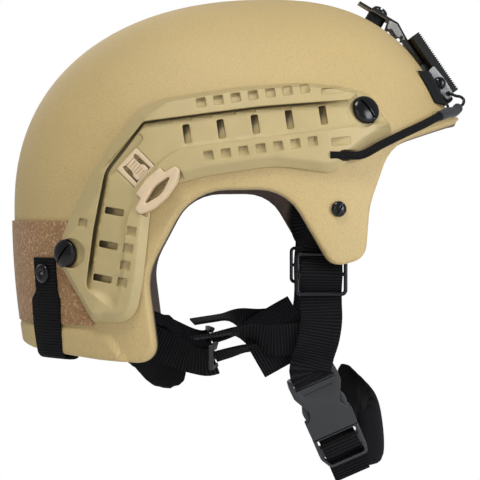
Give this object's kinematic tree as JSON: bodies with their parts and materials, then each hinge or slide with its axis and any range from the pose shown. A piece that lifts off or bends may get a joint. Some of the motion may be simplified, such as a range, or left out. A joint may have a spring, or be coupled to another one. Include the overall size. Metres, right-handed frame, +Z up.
{
  "type": "combat helmet",
  "caption": "High-cut combat helmet with side rails, a front shroud bracket held by stretch cords, pads and a buckled chin strap harness.",
  "frame": {"origin": "top of the wearer's head, where it meets the crown pad", "axes": "+Z up through the crown, -Y to the front of the helmet, +X to the wearer's left"},
  "size_m": [0.2498, 0.2947, 0.3068],
  "materials": {
    "tan_textured_paint": "matt, sprayed with a fine grit",
    "brown_loop_fabric": "looped pile",
    "tan_nylon": "satin, finely grained",
    "sand_nylon": "satin",
    "black_painted_steel": "satin black",
    "zinc_plated_steel": "dull",
    "dark_pad_fabric": "brushed knit",
    "black_webbing": "woven",
    "black_nylon": "satin",
    "grey_coated_steel": "phosphated",
    "black_rubber": "matt",
    "black_cord": "braided",
    "grey_sleeve": "satin",
    "bare_wire": "bright"
  },
  "bodies": {
    "helmet": {"shell": "tan_textured_paint", "loop_panel": "brown_loop_fabric", "rail_right": "tan_nylon", "rail_left": "tan_nylon", "rail_screws_front": "black_painted_steel", "rail_screws_rear": "black_painted_steel", "rail_nuts": "zinc_plated_steel", "cheek_screws": "black_painted_steel", "cheek_nuts": "zinc_plated_steel", "crown_pad": "dark_pad_fabric", "front_pad": "dark_pad_fabric", "rear_pad": "dark_pad_fabric", "side_pads": "dark_pad_fabric", "hook_discs": "black_nylon", "retention_strap_right": "black_webbing", "retention_strap_left": "black_webbing", "snap_studs": "zinc_plated_steel", "cheek_strap_right": "black_webbing", "cheek_strap_left": "black_webbing", "strap_glides": "grey_coated_steel", "rear_strap_right": "black_webbing", "rear_strap_left": "black_webbing", "strap_ends": "black_webbing", "nape_pad": "dark_pad_fabric", "nape_strap_right": "black_webbing", "nape_strap_left": "black_webbing", "nape_sliders": "black_nylon", "buckle_socket": "black_nylon", "chin_strap_left": "black_webbing", "bracket_pad": "black_rubber", "bracket_plate": "black_nylon", "bracket_arm": "grey_coated_steel", "bracket_spacer": "black_rubber", "bracket_screw": "black_painted_steel", "bracket_nut": "zinc_plated_steel", "side_links": "grey_coated_steel", "link_screws": "black_painted_steel", "cord_hooks": "bare_wire", "cord_right": "black_cord", "cord_left": "black_cord", "cord_sleeves": "grey_sleeve"},
    "clip_right_body": {"clip_right": "sand_nylon"},
    "clip_left_body": {"clip_left": "sand_nylon"},
    "tongue_right_body": {"clip_tongue_right": "sand_nylon"},
    "tongue_left_body": {"clip_tongue_left": "sand_nylon"},
    "buckle_plug_body": {"buckle_plug": "black_nylon", "chin_strap": "black_webbing", "chin_cup": "dark_pad_fabric"},
    "prong_front_body": {"prong_front": "black_nylon"},
    "prong_rear_body": {"prong_rear": "black_nylon"},
    "flap_right_body": {"retention_flap_right": "black_webbing", "snap_cap_right": "black_painted_steel"},
    "flap_left_body": {"retention_flap_left": "black_webbing", "snap_cap_left": "black_painted_steel"}
  },
  "joints": [
    {"name": "clip_right_slide", "type": "slide", "parent": "helmet", "child": "clip_right_body", "axis": [-0.2607, -0.6803, -0.685], "range_m": [0, 0.012]},
    {"name": "clip_left_slide", "type": "slide", "parent": "helmet", "child": "clip_left_body", "axis": [0.2607, -0.6803, -0.685], "range_m": [0, 0.012]},
    {"name": "clip_right_tongue", "type": "hinge", "parent": "clip_right_body", "child": "tongue_right_body", "pos_m": [-0.10641, 0.06529, -0.08006], "axis": [-0.16, -0.6693, 0.7256], "range_deg": [0, 5]},
    {"name": "clip_left_tongue", "type": "hinge", "parent": "clip_left_body", "child": "tongue_left_body", "pos_m": [0.10641, 0.06529, -0.08006], "axis": [-0.16, 0.6693, -0.7256], "range_deg": [0, 5]},
    {"name": "buckle_plug_slide", "type": "slide", "parent": "helmet", "child": "buckle_plug_body", "axis": [0.2072, -0.3885, -0.8979], "range_m": [0, 0.024]},
    {"name": "prong_rear_squeeze", "type": "hinge", "parent": "buckle_plug_body", "child": "prong_rear_body", "pos_m": [-0.07967, -0.04738, -0.24417], "axis": [0.9783, 0.0842, 0.1893], "range_deg": [0, 4.5]},
    {"name": "prong_front_squeeze", "type": "hinge", "parent": "buckle_plug_body", "child": "prong_front_body", "pos_m": [-0.07962, -0.0672, -0.23558], "axis": [-0.9783, -0.0842, -0.1893], "range_deg": [0, 4.5]},
    {"name": "snap_flap_right", "type": "hinge", "parent": "helmet", "child": "flap_right_body", "pos_m": [-0.06703, 0.11364, -0.196], "axis": [-0.7409, -0.6716, 0], "range_deg": [0, 75]},
    {"name": "snap_flap_left", "type": "hinge", "parent": "helmet", "child": "flap_left_body", "pos_m": [0.06703, 0.11364, -0.196], "axis": [-0.7409, 0.6716, 0], "range_deg": [0, 75]}
  ],
  "couplings": [
    {"joint": "prong_front_squeeze", "follows": "prong_rear_squeeze", "ratio": 1}
  ]
}
